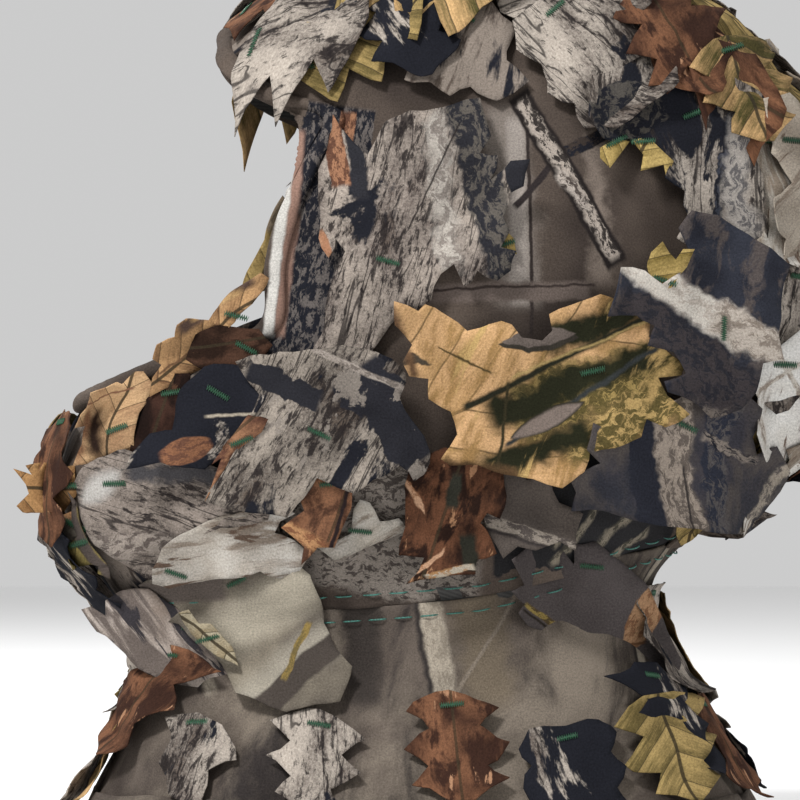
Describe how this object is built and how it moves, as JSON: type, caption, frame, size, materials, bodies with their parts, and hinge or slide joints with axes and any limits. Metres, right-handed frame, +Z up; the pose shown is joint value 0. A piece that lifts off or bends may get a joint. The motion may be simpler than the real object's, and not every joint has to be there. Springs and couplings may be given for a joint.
{
  "type": "camouflage face mask",
  "caption": "Full-cover cloth face mask with an eye opening, elastic neck and flared drape, covered in layered printed cloth leaves.",
  "frame": {"origin": "inside the wearer's head, midway between the ears", "axes": "the wearer faces -Y, +X is the wearer's left, +Z up"},
  "size_m": [0.2102, 0.2537, 0.2878],
  "materials": {
    "bark_print_leaf": "matte",
    "base_cloth": "matte",
    "cream_print_leaf": "matte",
    "elastic": "matte",
    "gold_print_leaf": "matte",
    "khaki_print_leaf": "matte",
    "navy_print_leaf": "matte",
    "rust_print_leaf": "matte",
    "tape": "matte",
    "thread": "matte",
    "twig_print_leaf": "matte"
  },
  "bodies": {
    "root": {"back_leaves": "bark_print_leaf", "casing_stitches": "thread", "chin_seam_tape": "tape", "crown_leaves": "twig_print_leaf", "crown_panel": "base_cloth", "drape_hem": "base_cloth", "eye_opening_binding": "base_cloth", "eye_opening_elastic": "elastic", "left_back_cream_leaf": "cream_print_leaf", "left_back_trunk_leaf": "navy_print_leaf", "left_bar_tacks": "thread", "left_cheek_bark_leaf": "bark_print_leaf", "left_cheek_panel": "base_cloth", "left_cheek_rust_leaf": "rust_print_leaf", "left_cheekbone_bark_leaf": "bark_print_leaf", "left_chin_cream_leaf": "cream_print_leaf", "left_crown_seam_tape": "tape", "left_crown_twig_leaf": "twig_print_leaf", "left_drape_bark_leaf": "bark_print_leaf", "left_drape_cream_leaf": "cream_print_leaf", "left_drape_panel": "base_cloth", "left_drape_twig_leaf": "twig_print_leaf", "left_hood_panel": "base_cloth", "left_jaw_branch_leaf": "twig_print_leaf", "left_jaw_rust_leaf": "rust_print_leaf", "left_nape_bark_leaf": "bark_print_leaf", "left_nape_white_leaf": "cream_print_leaf", "left_small_leaves": "bark_print_leaf", "left_temple_bark_leaf": "bark_print_leaf", "left_throat_bark_leaf": "bark_print_leaf", "left_throat_khaki_leaf": "khaki_print_leaf", "neck_casing": "tape", "neck_elastic": "elastic", "right_bar_tacks": "thread", "right_cheek_leaves": "bark_print_leaf", "right_cheek_panel": "base_cloth", "right_crown_leaves": "twig_print_leaf", "right_crown_seam_tape": "tape", "right_drape_leaves": "twig_print_leaf", "right_drape_panel": "base_cloth", "right_hood_panel": "base_cloth", "right_jaw_leaves": "bark_print_leaf", "right_nape_leaves": "bark_print_leaf"},
    "temple_gold_leaf_body": {"left_temple_gold_leaf": "gold_print_leaf", "left_temple_gold_tack": "thread"},
    "ear_navy_leaf_body": {"left_ear_navy_leaf": "navy_print_leaf", "left_ear_navy_tack": "thread"},
    "cheek_gold_leaf_body": {"left_cheek_gold_leaf": "gold_print_leaf", "left_cheek_gold_tack": "thread"},
    "nose_tan_leaf_body": {"left_nose_tan_leaf": "gold_print_leaf", "left_nose_tan_tack": "thread"},
    "chin_khaki_leaf_body": {"left_chin_khaki_leaf": "khaki_print_leaf", "left_chin_khaki_tack": "thread"},
    "brow_khaki_leaf_body": {"right_brow_khaki_leaf": "khaki_print_leaf", "right_brow_khaki_tack": "thread"}
  },
  "joints": [
    {"name": "temple_gold_leaf_lift", "type": "hinge", "parent": "root", "child": "temple_gold_leaf_body", "pos_m": [0.0871, 0.0576, 0.0089], "axis": [0.131, 0, 0.9914], "range_deg": [0, 35], "stiffness_Nm_per_rad": 0.002},
    {"name": "ear_navy_leaf_lift", "type": "hinge", "parent": "root", "child": "ear_navy_leaf_body", "pos_m": [0.0747, 0.101, 0.0255], "axis": [-0.0234, 0.1391, 0.99], "range_deg": [0, 35], "stiffness_Nm_per_rad": 0.002},
    {"name": "cheek_gold_leaf_lift", "type": "hinge", "parent": "root", "child": "cheek_gold_leaf_body", "pos_m": [0.0747, -0.0478, 0.0242], "axis": [-0.2735, -0.4809, 0.833], "range_deg": [0, 35], "stiffness_Nm_per_rad": 0.002},
    {"name": "nose_tan_leaf_lift", "type": "hinge", "parent": "root", "child": "nose_tan_leaf_body", "pos_m": [0.0553, -0.0827, 0.006], "axis": [-0.5623, -0.4135, 0.7161], "range_deg": [0, 35], "stiffness_Nm_per_rad": 0.002},
    {"name": "chin_khaki_leaf_lift", "type": "hinge", "parent": "root", "child": "chin_khaki_leaf_body", "pos_m": [0.0558, -0.0863, -0.0371], "axis": [-0.165, -0.634, 0.7555], "range_deg": [0, 35], "stiffness_Nm_per_rad": 0.002},
    {"name": "brow_khaki_leaf_lift", "type": "hinge", "parent": "root", "child": "brow_khaki_leaf_body", "pos_m": [-0.0774, -0.0274, 0.0607], "axis": [-0.3621, 0.6927, -0.6237], "range_deg": [0, 35], "stiffness_Nm_per_rad": 0.002}
  ]
}
